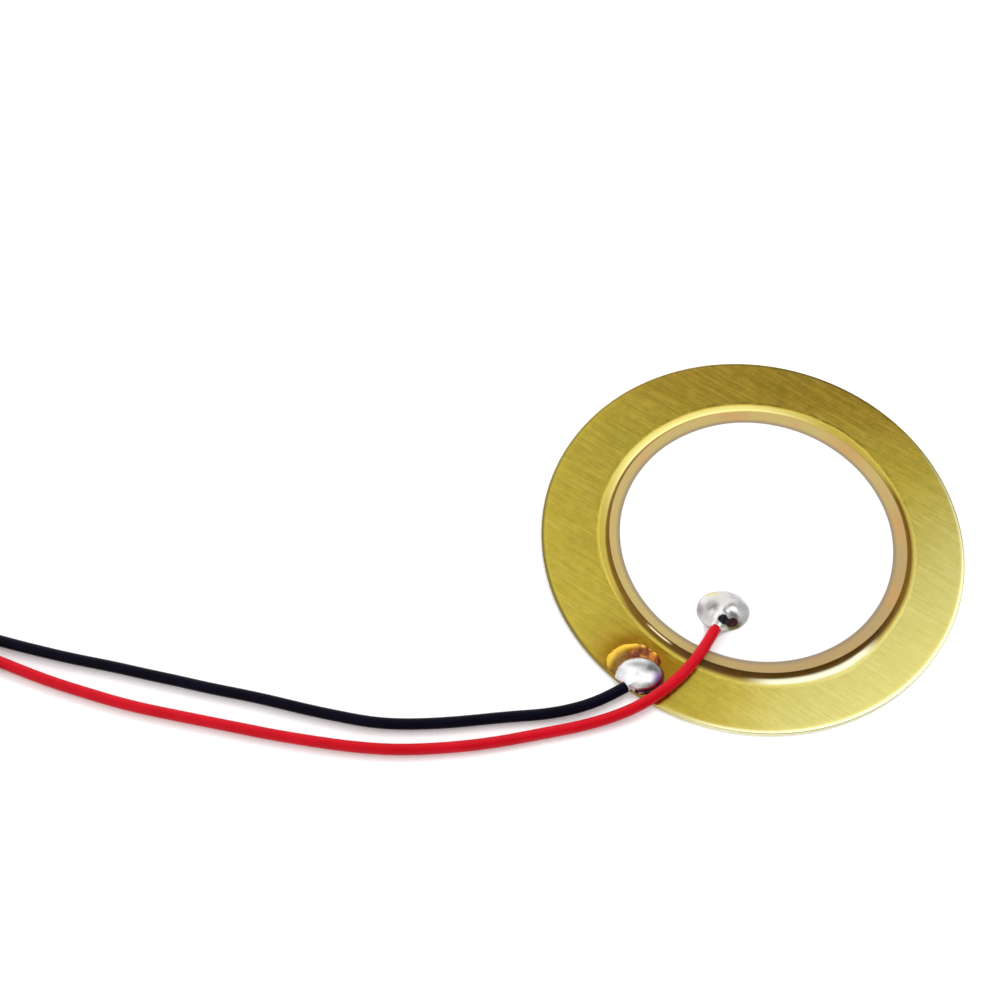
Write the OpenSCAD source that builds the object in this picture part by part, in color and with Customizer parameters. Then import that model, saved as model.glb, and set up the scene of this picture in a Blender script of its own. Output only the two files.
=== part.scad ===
// Piezo disc: a silvered ceramic disc bonded to a thin brass disc, with two soldered leads.
// Millimetres. +Z is up, and the brass back lies on Z = 0 with the disc's centre on the Z axis.
// The leads run off to -X and are wound together into one small coil.

/* [Brass disc] */
// Diameter of the brass disc
plate_d = 35; // [33:0.5:38]
// Thickness of the brass disc
plate_t = 0.3; // [0.2:0.05:0.5]
// Rounding that the punch leaves along the upper edge
plate_edge_r = 0.15; // [0.05:0.05:0.2]

/* [Ceramic] */
// Diameter of the ceramic disc
ceramic_d = 24.6; // [23.6:0.1:25.4]
// Thickness of the ceramic disc
ceramic_t = 0.22; // [0.15:0.01:0.4]
// How far the ceramic sits off the brass centre along X
ceramic_x = 0.4; // [-0.6:0.1:0.6]
// How far the ceramic sits off the brass centre along Y
ceramic_y = -0.1; // [-0.6:0.1:0.6]
// Diameter of the silver electrodes
electrode_d = 22.6; // [20:0.1:23]
// Thickness of the silver electrodes
electrode_t = 0.02; // [0.02:0.01:0.05]
// How far the silver sits off the ceramic centre along X
electrode_x = -0.15; // [-0.2:0.05:0.2]
// How far the silver sits off the ceramic centre along Y
electrode_y = -0.1; // [-0.2:0.05:0.2]

/* [Epoxy bond] */
// Thickness of the epoxy film under the lower electrode
bond_t = 0.03; // [0.02:0.01:0.1]
// Width of the epoxy squeezed out round the ceramic
fillet_w = 0.75; // [0.3:0.05:0.9]
// How much of the ceramic's height the squeezed-out epoxy covers
fillet_cover = 0.85; // [0.5:0.05:1]

/* [Solder joints] */
// Half length of the ceramic joint's foot
ceramic_joint_a = 2.2; // [1.6:0.1:2.6]
// Half width of the ceramic joint's foot
ceramic_joint_b = 1.85; // [1.4:0.05:2.2]
// Height of the ceramic joint
ceramic_joint_h = 1; // [0.7:0.05:1.4]
// Half length of the brass joint's foot
brass_joint_a = 2.05; // [1.6:0.05:2.4]
// Half width of the brass joint's foot
brass_joint_b = 1.65; // [1.3:0.05:1.9]
// Height of the brass joint
brass_joint_h = 1.1; // [0.8:0.05:1.4]
// Angle at which the solder meets what it wets
wetting_angle = 65; // [40:5:85]
// Half length of the flux residue's foot
flux_a = 2.2; // [1.9:0.1:2.4]
// Half width of the flux residue's foot
flux_b = 2; // [1.7:0.1:2.2]
// Height of the flux residue
flux_h = 0.4; // [0.2:0.05:0.6]

/* [Leads] */
// Outer diameter of the insulation
lead_od = 0.9; // [0.8:0.05:1]
// Diameter of the tinned conductor
core_d = 0.45; // [0.3:0.05:0.5]
// Length of conductor that lies in each solder joint
core_in_joint = 1.9; // [1.2:0.1:2.1]
// Length of bare conductor at each free end
tip_length = 4; // [2:0.5:6]

/* [Stored coil] */
// Diameter at the middle of the coil's two side by side leads
coil_d = 9.2; // [9:0.1:10]
// Number of turns that each lead makes
coil_turns = 1.5; // [1.4:0.05:1.55]
// Gap between neighbouring leads in the coil
coil_gap = 0.05; // [0.02:0.01:0.1]
// Thickness of the tie's thread
tie_t = 0.2; // [0.15:0.05:0.4]
// Width of the tie along the coil
tie_w = 1.2; // [0.8:0.1:2]
// Room between the tie's sides and the leads
tie_gap = 0.06; // [0.05:0.01:0.2]

/* [Hidden] */

$fn = 96;
lead_r = lead_od / 2;

// Heights of the stack's faces
bond_top = plate_t + bond_t;
ceramic_z = bond_top + electrode_t;
ceramic_top = ceramic_z + ceramic_t;
silver_top = ceramic_top + electrode_t;

// Centres of the round layers and of the solder joints
ceramic_at = [ceramic_x, ceramic_y];
silver_at = ceramic_at + [electrode_x, electrode_y];
fillet_r = ceramic_d / 2 + fillet_w;
ceramic_joint_turn = 246;
ceramic_joint_inset = 3.75;
ceramic_joint_at = silver_at
    + (electrode_d / 2 - ceramic_joint_inset) * [cos(ceramic_joint_turn), sin(ceramic_joint_turn)];
brass_joint_turn = 233;
brass_joint_inset = 1.4;
brass_joint_at = (plate_d / 2 - brass_joint_inset) * [cos(brass_joint_turn), sin(brass_joint_turn)];
flux_at = brass_joint_at + [-0.4, 0.85];

// Clearances of the solder from the silver's edge and from the epoxy, and of the flux from the
// rim and from the epoxy
silver_edge_gap = 0.1;
solder_epoxy_gap = 0.5;
flux_rim_gap = 0.15;
flux_epoxy_gap = 0.05;

// Where the insulation of each lead ends, from the middle of its joint
red_end_at = ceramic_joint_at + [-0.7, -1.7];
black_end_at = brass_joint_at + [-1.1, -1.15];

// Routes of the leads: x, y and the height of the lead's underside over the standing surface.
// The first point is the end of the insulation, and the coil follows the last one.
red_route = [
    [red_end_at[0], red_end_at[1], silver_top + 0.06], [-4.7, -10.9, silver_top + 0.03],
    [-6.1, -12.7, plate_t + 0.28], [-7.7, -14.2, plate_t + 0.2], [-9.5, -15.5, plate_t + 0.1],
    [-11.5, -16.4, 0.22],
    [-13.6, -17.1, 0.08], [-15.7, -17.6, 0], [-17.9, -18.1, 0], [-20, -18.6, 0], [-22.2, -19, 0],
    [-24.4, -19.3, 0], [-26.6, -19.5, 0], [-28.8, -19.6, 0], [-31, -19.5, 0], [-33.2, -19.3, 0],
    [-35.4, -19, 0], [-37.6, -18.7, 0], [-39.8, -18.3, 0], [-42, -17.9, 0], [-44.2, -17.5, 0],
    [-46.4, -17.1, 0], [-48.5, -16.7, 0], [-50.6, -16.2, 0], [-52.7, -15.6, 0], [-54.8, -15, 0],
    [-56.9, -14.3, 0], [-59, -13.5, 0], [-61.1, -12.7, 0], [-63.1, -11.9, 0.1]];
black_route = [
    [black_end_at[0], black_end_at[1], plate_t], [-13, -15.3, 0.22], [-15.2, -16, 0.1], [-17.4, -16.4, 0],
    [-19.6, -16.6, 0], [-21.8, -16.9, 0], [-24, -17.2, 0], [-26.2, -17.4, 0], [-28.4, -17.5, 0],
    [-30.6, -17.4, 0], [-32.8, -17, 0], [-35, -16.6, 0], [-37.2, -16.1, 0], [-39.4, -15.6, 0],
    [-41.6, -15.2, 0], [-43.8, -14.8, 0], [-46, -14.3, 0], [-48.2, -13.9, 0], [-50.4, -13.4, 0],
    [-52.6, -13, 0], [-54.8, -12.6, 0], [-57, -12.1, 0], [-59.2, -11.6, 0], [-61.4, -11, 0],
    [-63.5, -10.4, 0.1]];

// The coil: both leads come in side by side, red inside and black outside, and turn anticlockwise
coil_at = [-67, -14.7];
coil_from = 70;
coil_sweep = 360 * coil_turns;
lead_pitch = lead_od + coil_gap;
red_coil_r = (coil_d - lead_pitch) / 2;
black_coil_r = (coil_d + lead_pitch) / 2;
first_layer_sweep = 300;
second_layer_from = 270;
tie_at = 30;

// Sides of a lead's tube, and of a solder joint round its foot and up its flank
tube_sides = 8;
foot_angles = [for (i = [0 : 31]) 360 * i / 32];
flank_steps = 8;

// ---- Helpers ----

// Point of the coil at angle a from its start, at radius r, with the lead's underside at height z
function coil_point(r, a, z) =
    [coil_at[0] + r * cos(coil_from + a), coil_at[1] + r * sin(coil_from + a), z];

// Direction in which the leads run at angle a from the coil's start
function coil_heading(a) = [-sin(coil_from + a), cos(coil_from + a), 0];

function unit(v) = v / norm(v);

// Distance from a point p inside a circle about c to the circle, in direction u
function reach_inside(p, u, c, r) =
    let (q = p - c, b = q * u) -b + sqrt(max(0, b * b - q * q + r * r));

// Distance from a point p outside a circle about c to the circle, in direction u
function reach_outside(p, u, c, r) =
    let (q = p - c, b = q * u, d = b * b - q * q + r * r) b < 0 && d > 0 ? -b - sqrt(d) : plate_d;

// Half width of an oval of half axes a and b at angle t
function oval(a, b, t) = a * b / norm([b * cos(t), a * sin(t)]);

// Foot of an oval drop at p on the brass, kept off the rim's rounding and off the epoxy
function foot_on_brass(p, a, b, rim_gap, epoxy_gap) =
    [for (t = foot_angles)
        let (u = [cos(t), sin(t)])
        min(oval(a, b, t), reach_inside(p, u, [0, 0], plate_d / 2 - plate_edge_r - rim_gap),
            reach_outside(p, u, ceramic_at, fillet_r + epoxy_gap))];

// Foot of an oval drop at p on the silver, kept inside the silver's edge
function foot_on_silver(p, a, b) =
    [for (t = foot_angles)
        min(oval(a, b, t), reach_inside(p, [cos(t), sin(t)], silver_at, electrode_d / 2 - silver_edge_gap))];

// Drop of height h that stands at p on height z, with a foot of its own width at each angle
module drop(p, foot, h, z) {
    n = len(foot);
    rings = [for (k = [0 : flank_steps - 1])
        let (s = wetting_angle * (1 - k / flank_steps),
             across = sin(s) / sin(wetting_angle),
             up = (cos(s) - cos(wetting_angle)) / (1 - cos(wetting_angle)))
        for (i = [0 : n - 1])
            [p[0] + foot[i] * across * cos(foot_angles[i]),
             p[1] + foot[i] * across * sin(foot_angles[i]), z + h * up]];
    polyhedron(
        points = concat(rings, [[p[0], p[1], z + h]]),
        faces = concat(
            [[for (i = [0 : n - 1]) i]],
            [for (k = [0 : flank_steps - 2]) for (i = [0 : n - 1])
                let (j = (i + 1) % n, a0 = k * n, a1 = a0 + n)
                each [[a0 + i, a1 + i, a1 + j], [a0 + i, a1 + j, a0 + j]]],
            [for (i = [0 : n - 1])
                [len(rings) - n + i, len(rings), len(rings) - n + (i + 1) % n]]));
}

// Straight round rod from p along direction v
module rod(p, v, d, length) {
    translate(p)
        rotate([0, acos(v[2] / norm(v)), atan2(v[1], v[0])])
            cylinder(d = d, h = length);
}

// Centre line of a lead: its route lifted by its radius, then the point where the coil starts
function centre_line(route, coil_r) = concat(
    [for (p = route) [p[0], p[1], p[2] + lead_r]], [coil_point(coil_r, 0, tie_t + lead_r)]);

// Tube of tube_sides along a centre line, whose last ring faces along last_heading
module tube(line, last_heading) {
    n = len(line);
    points = [for (k = [0 : n - 1])
        let (t = k == n - 1 ? last_heading : unit(line[k + 1] - line[max(k - 1, 0)]),
             side = unit(cross(t, [0, 0, 1])), up = cross(side, t))
        for (i = [0 : tube_sides - 1])
            let (w = 360 * i / tube_sides)
            line[k] + lead_r * (cos(w) * side + sin(w) * up)];
    polyhedron(
        points = points,
        faces = concat(
            [[for (i = [0 : tube_sides - 1]) i]],
            [for (k = [0 : n - 2]) for (i = [0 : tube_sides - 1])
                let (j = (i + 1) % tube_sides, a0 = k * tube_sides, a1 = a0 + tube_sides)
                each [[a0 + i, a1 + i, a1 + j], [a0 + i, a1 + j, a0 + j]]],
            [[for (i = [tube_sides - 1 : -1 : 0]) (n - 1) * tube_sides + i]]));
}

// Conductor in a joint, straight back from the insulation's end
module core_end(line) {
    v = unit(line[1] - line[0]);
    rod(line[0] - core_in_joint * v, v, core_d, core_in_joint);
}

// Conductor and insulation end as they lie in a joint, which the solder is cut back to
module lead_end(line) {
    core_end(line);
    rod(line[0], unit(line[1] - line[0]), lead_od, lead_od);
}

// ---- Sub-parts ----

red_line = centre_line(red_route, red_coil_r);
black_line = centre_line(black_route, black_coil_r);

// Punched brass disc, rounded along its upper edge
module brass_disc() {
    r = plate_d / 2;
    color([0.72, 0.65, 0.27])
        rotate_extrude() {
            square([r - plate_edge_r, plate_t]);
            square([r, plate_t - plate_edge_r]);
            intersection() {
                translate([r - plate_edge_r, plate_t - plate_edge_r]) circle(plate_edge_r);
                square([r, plate_t]);
            }
        }
}

// Epoxy film under the ceramic, and the rim of it that is squeezed out round the edge
module epoxy_bond() {
    inner = ceramic_d / 2;
    rim_h = ceramic_z + fillet_cover * ceramic_t - plate_t;
    color([0.45, 0.33, 0.08])
        translate([ceramic_x, ceramic_y, plate_t])
            difference() {
                rotate_extrude() {
                    square([inner, electrode_t + bond_t]);
                    difference() {
                        translate([inner, 0]) square([fillet_w, rim_h]);
                        translate([inner + fillet_w, 1.25 * rim_h + hollow_r(rim_h) - rim_h])
                            circle(hollow_r(rim_h));
                    }
                }
                translate([electrode_x, electrode_y, bond_t])
                    cylinder(d = electrode_d, h = 2 * electrode_t);
            }
}

// Radius of the hollow face of the squeezed-out rim
function hollow_r(h) = (fillet_w * fillet_w + h * h) / (2 * h);

module lower_electrode() {
    color([0.86, 0.86, 0.84])
        translate([silver_at[0], silver_at[1], bond_top])
            cylinder(d = electrode_d, h = electrode_t);
}

module ceramic_disc() {
    color([0.78, 0.68, 0.47])
        translate([ceramic_x, ceramic_y, ceramic_z])
            cylinder(d = ceramic_d, h = ceramic_t);
}

module upper_electrode() {
    color([0.97, 0.97, 0.96])
        translate([silver_at[0], silver_at[1], ceramic_top])
            cylinder(d = electrode_d, h = electrode_t);
}

// Solder drop that holds the red lead on the silver
module ceramic_solder() {
    color([0.78, 0.78, 0.78])
        difference() {
            drop(ceramic_joint_at, foot_on_silver(ceramic_joint_at, ceramic_joint_a, ceramic_joint_b),
                 ceramic_joint_h, silver_top);
            lead_end(red_line);
        }
}

module brass_drop() {
    drop(brass_joint_at, foot_on_brass(brass_joint_at, brass_joint_a, brass_joint_b, 0, solder_epoxy_gap),
         brass_joint_h, plate_t);
}

// Solder drop that holds the black lead on the brass, close to the rim
module brass_solder() {
    color([0.8, 0.8, 0.8])
        difference() {
            brass_drop();
            lead_end(black_line);
        }
}

// Amber flux left round the brass joint
module flux_residue() {
    color([0.85, 0.55, 0.08])
        difference() {
            drop(flux_at, foot_on_brass(flux_at, flux_a, flux_b, flux_rim_gap, flux_epoxy_gap),
                 flux_h, plate_t);
            brass_drop();
        }
}

// Tinned ends of the leads' conductors inside their solder joints
module red_core_joint_end() {
    color([0.75, 0.74, 0.72]) core_end(red_line);
}

module black_core_joint_end() {
    color([0.75, 0.74, 0.72]) core_end(black_line);
}

module red_lead() {
    color([0.85, 0.07, 0.12]) tube(red_line, coil_heading(0));
}

module black_lead() {
    color([0.05, 0.05, 0.09]) tube(black_line, coil_heading(0));
}

// Round-sided section of leads lying side by side between radii r0 and r1, at height z
module lead_section(r0, r1, z) {
    for (r = [r0, r1])
        translate([r, z + lead_r]) circle(lead_r);
    translate([r0, z]) square([r1 - r0 + 0.001, lead_od]);
}

// Outer shape of the two wound leads: a first layer, and a second that lies on it and passes
// over the incoming leads
module lead_coil() {
    color([0.3, 0.06, 0.1])
        translate([coil_at[0], coil_at[1], 0])
            rotate([0, 0, coil_from]) {
                rotate_extrude(angle = first_layer_sweep)
                    lead_section(red_coil_r, black_coil_r, tie_t);
                rotate([0, 0, second_layer_from])
                    rotate_extrude(angle = coil_sweep - second_layer_from)
                        lead_section(red_coil_r, black_coil_r, tie_t + lead_od);
                for (span = [[0, coil_sweep - 360], [second_layer_from, first_layer_sweep]])
                    rotate([0, 0, span[0]])
                        rotate_extrude(angle = span[1] - span[0])
                            translate([red_coil_r, tie_t + lead_r]) square([lead_pitch, lead_od]);
            }
}

// Thread tied round the coil
module coil_tie() {
    opening = [2 * lead_r + lead_pitch + 2 * tie_gap, 2 * lead_od];
    color([0.9, 0.88, 0.82])
        translate([coil_at[0], coil_at[1], 0])
            rotate([0, 0, coil_from + tie_at])
                translate([coil_d / 2, -tie_w / 2, 0])
                    difference() {
                        translate([-opening[0] / 2 - tie_t, 0, 0])
                            cube([opening[0] + 2 * tie_t, tie_w, opening[1] + 2 * tie_t]);
                        translate([-opening[0] / 2, -tie_w, tie_t])
                            cube([opening[0], 3 * tie_w, opening[1]]);
                    }
}

// Bare tinned end of a lead, straight on from the last turn
module core_free_end(coil_r) {
    color([0.75, 0.74, 0.72])
        rod(coil_point(coil_r, coil_sweep, tie_t + lead_od + lead_r), coil_heading(coil_sweep),
            core_d, tip_length);
}

module red_core_free_end() {
    core_free_end(red_coil_r);
}

module black_core_free_end() {
    core_free_end(black_coil_r);
}

brass_disc();
epoxy_bond();
lower_electrode();
ceramic_disc();
upper_electrode();
ceramic_solder();
brass_solder();
flux_residue();
red_core_joint_end();
black_core_joint_end();
red_lead();
black_lead();
lead_coil();
coil_tie();
red_core_free_end();
black_core_free_end();
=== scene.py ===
"""Looks of the piezo disc: camera, leads, discs, epoxy, solder, flux, coil tie, floor and light."""
import math

import bpy
import numpy as np
from mathutils import Matrix, Vector, noise


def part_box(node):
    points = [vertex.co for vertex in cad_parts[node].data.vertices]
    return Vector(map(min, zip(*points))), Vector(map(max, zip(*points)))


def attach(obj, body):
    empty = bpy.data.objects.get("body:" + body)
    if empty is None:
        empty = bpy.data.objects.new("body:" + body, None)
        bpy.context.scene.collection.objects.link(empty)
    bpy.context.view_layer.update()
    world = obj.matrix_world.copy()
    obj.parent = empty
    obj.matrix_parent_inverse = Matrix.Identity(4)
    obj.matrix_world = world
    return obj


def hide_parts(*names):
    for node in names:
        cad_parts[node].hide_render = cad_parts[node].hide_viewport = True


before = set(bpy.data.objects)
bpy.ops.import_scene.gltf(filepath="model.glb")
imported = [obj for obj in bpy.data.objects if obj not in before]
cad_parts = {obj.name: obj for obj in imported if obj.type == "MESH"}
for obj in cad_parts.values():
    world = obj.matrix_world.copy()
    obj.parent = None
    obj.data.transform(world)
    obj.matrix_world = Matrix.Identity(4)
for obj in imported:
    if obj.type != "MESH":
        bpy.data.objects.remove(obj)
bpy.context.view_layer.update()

MM = 0.001


# ---------------------------------------------------------------- helpers

def corners(node):
    """Lowest and highest corner of a CAD node, in millimetres."""
    low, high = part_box(node)
    return np.array(low) / MM, np.array(high) / MM


def middle(node):
    low, high = corners(node)
    return (low + high) / 2


def unit(v):
    v = np.asarray(v, float)
    return v / np.linalg.norm(v)


def smoothstep(a, b, x):
    t = np.clip((np.asarray(x, float) - a) / (b - a), 0, 1)
    return t * t * (3 - 2 * t)


def bell(x, width):
    """1 where x is 0, falling off on both sides over about width."""
    return math.exp(-(x / width) ** 2)


def wobble(x, y, z=0.0, scale=1.0):
    """Smooth noise from -1 to 1 at a point, the same on each run."""
    return noise.noise(Vector((x * scale, y * scale, z * scale)))


def over(centre, u, v, z):
    """The point u, v from a centre, at height z."""
    return (centre[0] + u, centre[1] + v, z)


def mesh_piece(name, verts, faces, material, nodes):
    """A piece in millimetres that rides on the body and stands for some CAD nodes."""
    mesh = bpy.data.meshes.new(name)
    mesh.from_pydata([tuple(float(c) * MM for c in v) for v in verts], [], faces)
    mesh.validate()
    mesh.materials.append(material)
    mesh.polygons.foreach_set("use_smooth", [True] * len(mesh.polygons))
    piece = bpy.data.objects.new(name, mesh)
    bpy.context.scene.collection.objects.link(piece)
    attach(piece, "root")
    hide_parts(*nodes)
    return piece


def spline(points, step):
    """Smooth line through points, with a point about every step millimetres."""
    p = np.asarray(points, float)
    p = np.vstack([2 * p[0] - p[1], p, 2 * p[-1] - p[-2]])
    out = []
    for i in range(1, len(p) - 2):
        a, b, c, d = p[i - 1:i + 3]
        n = max(2, int(np.linalg.norm(c - b) / step))
        for k in range(n):
            t = k / n
            out.append(0.5 * (2 * b + (c - a) * t + (2 * a - 5 * b + 4 * c - d) * t ** 2
                              + (3 * b - 3 * c + d - a) * t ** 3))
    out.append(p[-2])
    return np.array(out)


def tube(line, radii, sides, start=(), end=()):
    """Vertices and faces of a closed tube. start and end are (shift, radius) rings that finish its ends."""
    line = np.asarray(line, float)
    radii = np.broadcast_to(np.asarray(radii, float), (len(line),))
    tangents = np.gradient(line, axis=0)
    tangents /= np.linalg.norm(tangents, axis=1)[:, None]
    nearly_up = [0.02, 0.01, 1.0]
    side = unit(np.cross(tangents[0], nearly_up))
    rings, verts, faces = [], [], []

    def ring(centre, t, r):
        nonlocal side
        side = unit(side - t * np.dot(side, t))
        up = np.cross(t, side)
        angles = np.arange(sides) * 2 * math.pi / sides
        first = len(verts)
        verts.extend(centre + r * (np.outer(np.cos(angles), side) + np.outer(np.sin(angles), up)))
        rings.append(first)

    for shift, r in start:
        ring(line[0] + shift * tangents[0], tangents[0], r)
    for c, t, r in zip(line, tangents, radii):
        ring(c, t, r)
    for shift, r in end:
        ring(line[-1] + shift * tangents[-1], tangents[-1], r)
    for a, b in zip(rings, rings[1:]):
        for i in range(sides):
            j = (i + 1) % sides
            faces.append((a + i, a + j, b + j, b + i))
    faces.append(tuple(rings[0] + i for i in reversed(range(sides))))
    faces.append(tuple(rings[-1] + i for i in range(sides)))
    return verts, faces


def wrapped(first, rings, spokes, top, bottom=None):
    """Faces of a closed form: a fan round vertex top, bands between the rings of spokes vertices that
    begin at vertex first, and below them a fan round vertex bottom or one flat face."""
    faces = []
    last = first + (rings - 1) * spokes
    for i in range(spokes):
        j = (i + 1) % spokes
        faces.append((top, first + i, first + j))
        for a in range(first, last, spokes):
            faces.append((a + i, a + spokes + i, a + spokes + j, a + j))
        if bottom is not None:
            faces.append((last + i, bottom, last + j))
    if bottom is None:
        faces.append(tuple(last + i for i in reversed(range(spokes))))
    return faces


def mound(centre, foot, height, base):
    """Vertices and faces of a mound on height base. foot(angle) is its reach, and
    height(u, v, share) its rise at u, v from the centre, share of the way to the foot."""
    spokes, rings = 128, 44
    verts = []
    for k in range(1, rings + 1):
        share = math.sin(0.5 * math.pi * k / rings)
        for i in range(spokes):
            angle = 2 * math.pi * i / spokes
            r = share * foot(angle)
            u, v = r * math.cos(angle), r * math.sin(angle)
            rise = height(u, v, share) if k < rings else 0.0
            verts.append((centre[0] + u, centre[1] + v, base + max(rise, 0.0)))
    top = len(verts)
    verts.append((centre[0], centre[1], base + height(0.0, 0.0, 0.0)))
    return verts, wrapped(0, rings, spokes, top)


def joined(*parts):
    """Vertices and faces of several parts as one."""
    verts, faces = [], []
    for v, f in parts:
        faces += [tuple(i + len(verts) for i in face) for face in f]
        verts += [tuple(p) for p in v]
    return verts, faces


def fused(verts, faces, cell, passes):
    """One skin round overlapping closed parts, its creases run together."""
    mesh = bpy.data.meshes.new("fused")
    mesh.from_pydata(verts, [], faces)
    o = bpy.data.objects.new("fused", mesh)
    bpy.context.scene.collection.objects.link(o)
    skin = o.modifiers.new("skin", "REMESH")
    skin.mode, skin.voxel_size = "VOXEL", cell
    soft = o.modifiers.new("soft", "SMOOTH")
    soft.factor, soft.iterations = 0.5, passes
    result = o.evaluated_get(bpy.context.evaluated_depsgraph_get()).to_mesh()
    verts = np.array([v.co[:] for v in result.vertices])
    faces = [tuple(p.vertices) for p in result.polygons]
    bpy.data.objects.remove(o)
    bpy.data.meshes.remove(mesh)
    return verts, faces


# ---------------------------------------------------------------- material helpers

class Nodes:
    """A node tree, built with few words."""

    def __init__(self, tree):
        self.tree = tree

    def new(self, kind, **settings):
        n = self.tree.nodes.new(kind)
        for key, value in settings.items():
            setattr(n, key, value)
        return n

    def put(self, socket, value):
        if isinstance(value, bpy.types.NodeSocket):
            self.tree.links.new(value, socket)
        else:
            socket.default_value = value

    def maths(self, operation, a, b=0.0, c=0.0, clamp=False):
        n = self.new("ShaderNodeMath", operation=operation, use_clamp=clamp)
        for socket, value in zip(n.inputs, (a, b, c)):
            self.put(socket, value)
        return n.outputs[0]

    def times(self, a, b):
        return self.maths("MULTIPLY", a, b)

    def weighted(self, *pairs):
        """The sum of some values, each times its weight."""
        total = None
        for value, weight in pairs:
            share = value if weight == 1 else self.times(value, weight)
            total = share if total is None else self.maths("ADD", total, share)
        return total

    def vector_maths(self, operation, a, b=None, scale=None):
        n = self.new("ShaderNodeVectorMath", operation=operation)
        self.put(n.inputs[0], a)
        if b is not None:
            self.put(n.inputs[1], b)
        if scale is not None:
            self.put(n.inputs["Scale"], scale)
        return n.outputs["Value"] if operation in ("LENGTH", "DOT_PRODUCT") else n.outputs[0]

    def split(self, vector):
        """The x, y and z of a vector."""
        n = self.new("ShaderNodeSeparateXYZ")
        self.put(n.inputs[0], vector)
        return n.outputs

    def ranged(self, value, a, b, c=0.0, d=1.0):
        """c where the value is a and d where it is b, running smoothly between them."""
        n = self.new("ShaderNodeMapRange", interpolation_type="SMOOTHSTEP")
        for socket, v in zip(n.inputs, (value, a, b, c, d)):
            self.put(socket, v)
        return n.outputs[0]

    def seen_ray(self):
        """1 on rays from the camera and on those that gloss and glass send on, 0 on others."""
        path = self.new("ShaderNodeLightPath").outputs
        seen = self.maths("MAXIMUM", path["Is Camera Ray"], path["Is Glossy Ray"])
        return self.maths("MAXIMUM", seen, path["Is Transmission Ray"])


class Shader(Nodes):
    """A procedural material. Lengths in its textures are in millimetres."""

    def __init__(self, name):
        self.material = bpy.data.materials.new(name)
        self.material.use_nodes = True
        super().__init__(self.material.node_tree)
        self.bsdf = self.tree.nodes["Principled BSDF"]
        metres = self.new("ShaderNodeTexCoord").outputs["Object"]
        self.place = self.vector_maths("SCALE", metres, scale=1 / MM)

    def streaked(self, angle, length, width):
        """Coordinates for a texture that is drawn out along a direction in the disc's plane."""
        n = self.new("ShaderNodeMapping", vector_type="TEXTURE")
        n.inputs["Rotation"].default_value = (0, 0, angle)
        n.inputs["Scale"].default_value = (length, width, width)
        self.put(n.inputs["Vector"], self.place)
        return n.outputs[0]

    def noise(self, scale, detail=3.0, roughness=0.5, vector=None):
        n = self.new("ShaderNodeTexNoise")
        self.put(n.inputs["Vector"], self.place if vector is None else vector)
        n.inputs["Scale"].default_value = scale
        n.inputs["Detail"].default_value = detail
        n.inputs["Roughness"].default_value = roughness
        return n.outputs[0]

    def mix(self, share, a, b, blend="MIX"):
        n = self.new("ShaderNodeMix", data_type="RGBA", blend_type=blend)
        for socket, value in zip((n.inputs[0], n.inputs[6], n.inputs[7]), (share, a, b)):
            if isinstance(value, tuple):
                value = (*value, 1)
            self.put(socket, value)
        return n.outputs[2]

    def near(self, point, inner, outer, stretch=(1, 1, 1)):
        """1 within inner of a point, falling to 0 at outer."""
        away = self.vector_maths("SUBTRACT", self.place, tuple(point))
        away = self.vector_maths("LENGTH", self.vector_maths("DIVIDE", away, stretch))
        return self.ranged(away, outer, inner)

    def radius(self, centre=(0, 0, 0)):
        """Distance from the upright line through a point."""
        away = self.vector_maths("SUBTRACT", self.place, tuple(centre))
        return self.vector_maths("LENGTH", self.vector_maths("MULTIPLY", away, (1, 1, 0)))

    def along(self, direction, a, b):
        """0 where the place along a direction is a, 1 where it is b."""
        return self.ranged(self.vector_maths("DOT_PRODUCT", self.place, direction), a, b)

    def bump(self, height, distance, strength):
        n = self.new("ShaderNodeBump")
        n.inputs["Strength"].default_value = strength
        n.inputs["Distance"].default_value = distance * MM
        self.put(n.inputs["Height"], height)
        self.put(self.bsdf.inputs["Normal"], n.outputs[0])

    def set(self, **values):
        for key, value in values.items():
            self.put(self.bsdf.inputs[key.replace("_", " ")], value)


def finish_node(node, material):
    """A CAD node that is shown as it is gets its procedural material."""
    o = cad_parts[node]
    o.data.materials.clear()
    o.data.materials.append(material)


# ---------------------------------------------------------------- sizes and places

plate_low, plate_high = corners("brass_disc")
plate_r = (plate_high[0] - plate_low[0]) / 2
plate_top = plate_high[2]
ceramic_low, ceramic_high = corners("ceramic_disc")
ceramic_mid = middle("ceramic_disc")
ceramic_r = (ceramic_high[0] - ceramic_low[0]) / 2
silver_low, silver_high = corners("upper_electrode")
silver_mid = middle("upper_electrode")
silver_r = (silver_high[0] - silver_low[0]) / 2
silver_top = silver_high[2]
silver_joint = middle("ceramic_solder")
brass_joint = middle("brass_solder")

# Leads and thread, as in the part's source
LEAD_R = 0.45
CORE_R = 0.225
LEAD_GAP = 0.05
TIE_T = 0.2
THREAD_R = TIE_T / 2
BARE_END = 4.0

# How far a conductor starts inside its insulation and reaches into its joint, and the spacing of the
# points on a lead's centre line
TUCK = 0.3
IN_JOINT = 1.3
LINE_STEP = 0.3

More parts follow.
